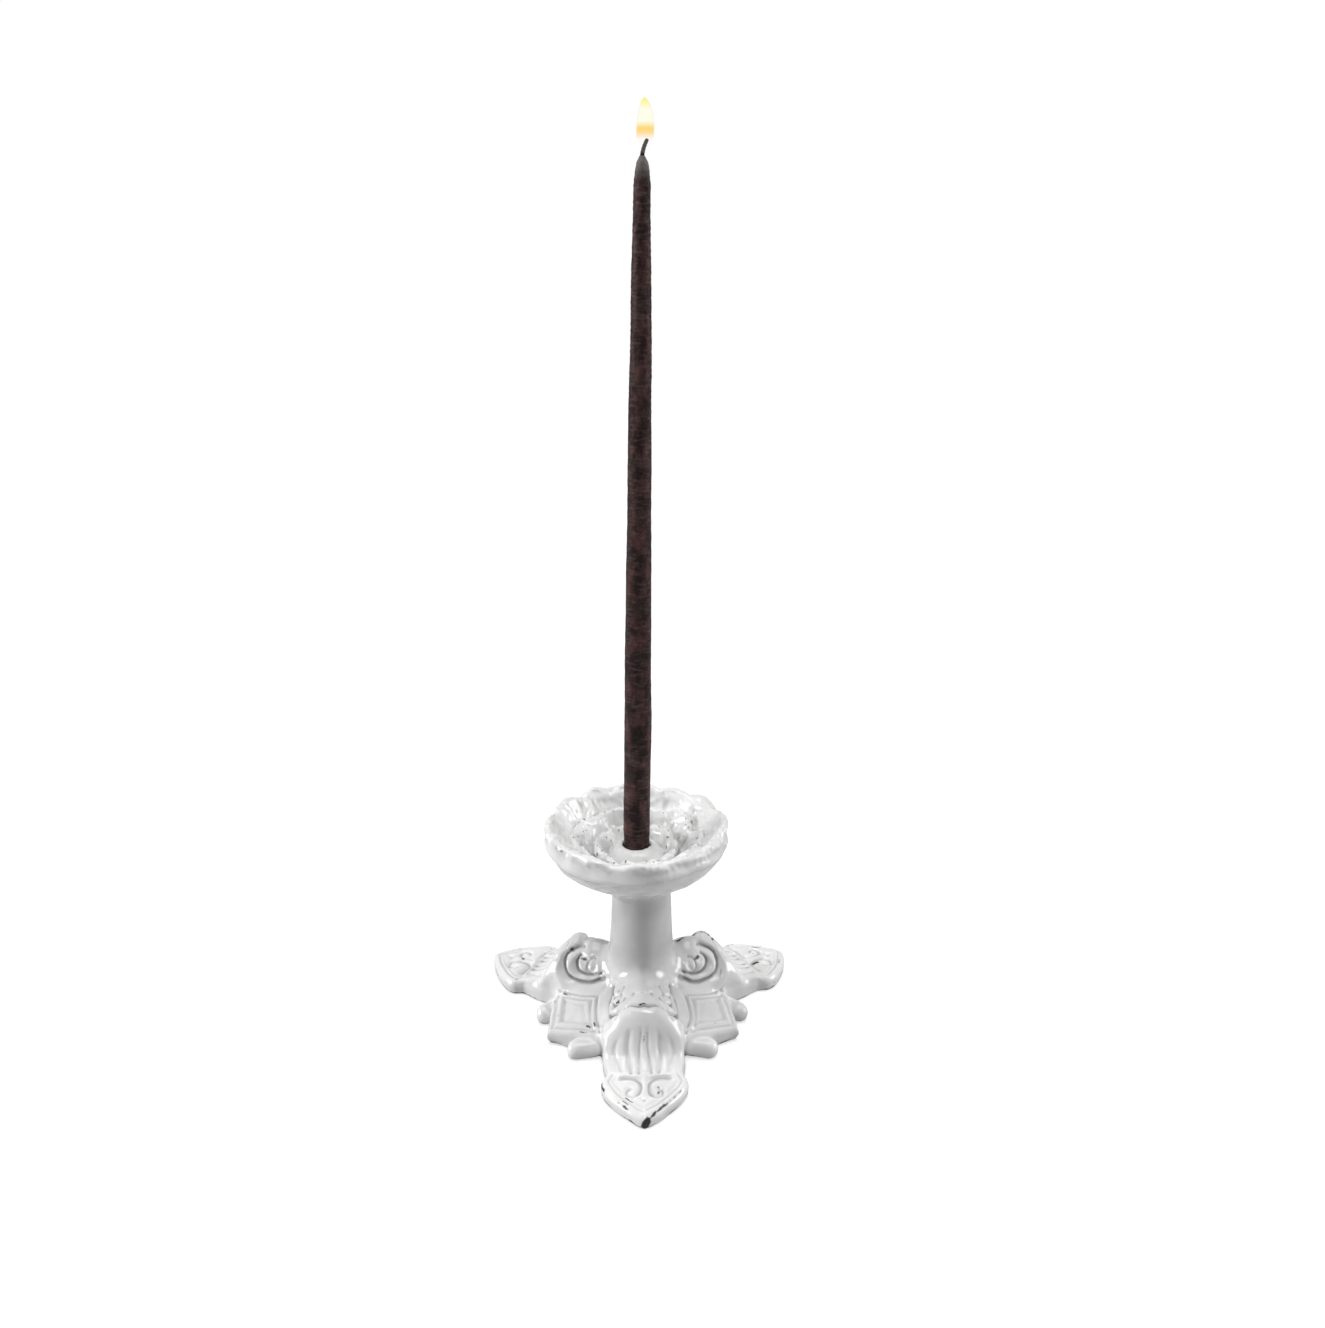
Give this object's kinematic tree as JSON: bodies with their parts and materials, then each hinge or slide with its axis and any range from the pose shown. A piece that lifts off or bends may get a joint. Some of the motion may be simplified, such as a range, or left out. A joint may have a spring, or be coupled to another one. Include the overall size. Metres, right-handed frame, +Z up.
{
  "type": "candlestick",
  "caption": "Low three-footed candlestick in glazed ceramic with scroll legs, a plain stem and a petalled drip pan, holding a tall thin dark taper that lifts out.",
  "frame": {"origin": "on the stem's axis, in the plane that the foot rests on", "axes": "+Z up along the stem and the candle; the front leg points along -Y, and +X is to the right of someone facing it"},
  "size_m": [0.1472, 0.1365, 0.3892],
  "materials": {
    "glaze": "gloss",
    "wax": "satin",
    "char": "matte",
    "flame": "matte"
  },
  "bodies": {
    "holder": {"stem": "glaze", "leg_front": "glaze", "leg_left": "glaze", "leg_right": "glaze", "panel_left": "glaze", "panel_right": "glaze", "panel_rear": "glaze", "drip_pan": "glaze", "outer_petal_ring": "glaze", "middle_petal_ring": "glaze", "inner_petal_ring": "glaze", "candle_socket": "glaze"},
    "candle": {"candle_wax": "wax", "wick": "char"}
  },
  "joints": [
    {"name": "candle_lift", "type": "slide", "parent": "holder", "child": "candle", "axis": [0, 0, 1], "range_m": [0, 0.04]}
  ]
}
